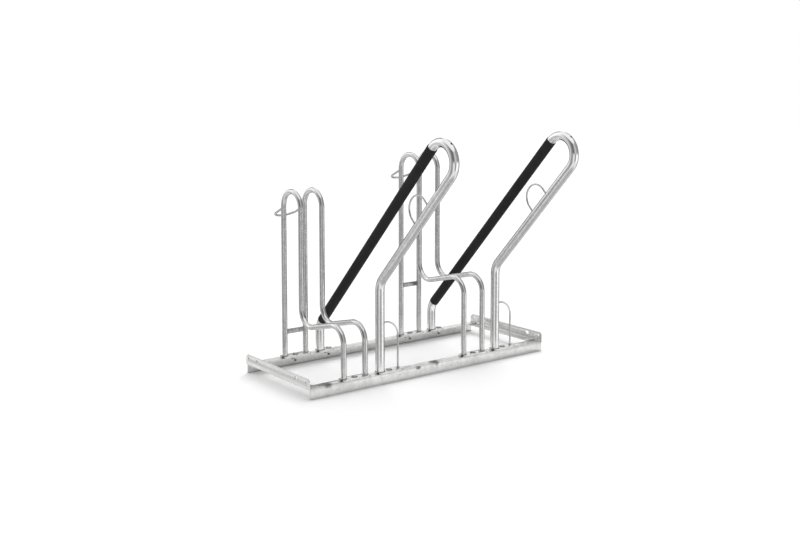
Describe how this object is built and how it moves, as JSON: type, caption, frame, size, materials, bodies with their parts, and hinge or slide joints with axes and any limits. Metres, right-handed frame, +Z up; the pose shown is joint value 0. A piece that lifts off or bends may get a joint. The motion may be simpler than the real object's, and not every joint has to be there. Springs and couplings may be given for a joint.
{
  "type": "bicycle floor stand",
  "caption": "Galvanised bicycle floor stand with low and high wheel loops, leaning frame hoops with black sleeves, wire lock eyes and a rail base.",
  "frame": {"origin": "on the floor, under the middle of the rack's overall extent", "axes": "+Z up, +X to the right along the rails, -Y to the front, where the wheels roll in"},
  "size_m": [1, 0.8273, 0.8199],
  "materials": {
    "galvanised_tube": "hot-dip galvanised, softly mottled, satin",
    "galvanised_wire": "hot-dip galvanised, satin",
    "galvanised_angle": "hot-dip galvanised, matt, pale and mottled",
    "zinc_weld": "rough zinc-coated weld",
    "fastener": "zinc-coated, satin",
    "black_sleeve": "matt black, smooth"
  },
  "bodies": {
    "root": {"front_rail": "galvanised_angle", "back_rail": "galvanised_angle", "left_end_bar": "galvanised_angle", "right_end_bar": "galvanised_angle", "end_bar_welds": "zinc_weld", "low_left_wheel_loop": "galvanised_tube", "low_right_wheel_loop": "galvanised_tube", "low_cross_strip": "galvanised_angle", "low_spacer_bow": "galvanised_wire", "low_loop_front_plate": "galvanised_angle", "low_loop_back_plate": "galvanised_angle", "low_leaning_hoop": "galvanised_tube", "low_frame_guard_sleeve": "black_sleeve", "low_hoop_front_plate": "galvanised_angle", "low_hoop_back_plate": "galvanised_angle", "low_upper_lock_eye": "galvanised_wire", "low_lower_lock_bow": "galvanised_wire", "low_foot_welds": "zinc_weld", "high_left_wheel_loop": "galvanised_tube", "high_right_wheel_loop": "galvanised_tube", "high_cross_strip": "galvanised_angle", "high_spacer_bow": "galvanised_wire", "high_loop_front_plate": "galvanised_angle", "high_loop_back_plate": "galvanised_angle", "high_leaning_hoop": "galvanised_tube", "high_frame_guard_sleeve": "black_sleeve", "high_hoop_front_plate": "galvanised_angle", "high_hoop_back_plate": "galvanised_angle", "high_upper_lock_eye": "galvanised_wire", "high_lower_lock_bow": "galvanised_wire", "high_foot_welds": "zinc_weld", "carriage_bolts": "fastener", "bolt_washers": "fastener", "bolt_nuts": "fastener"}
  },
  "joints": []
}
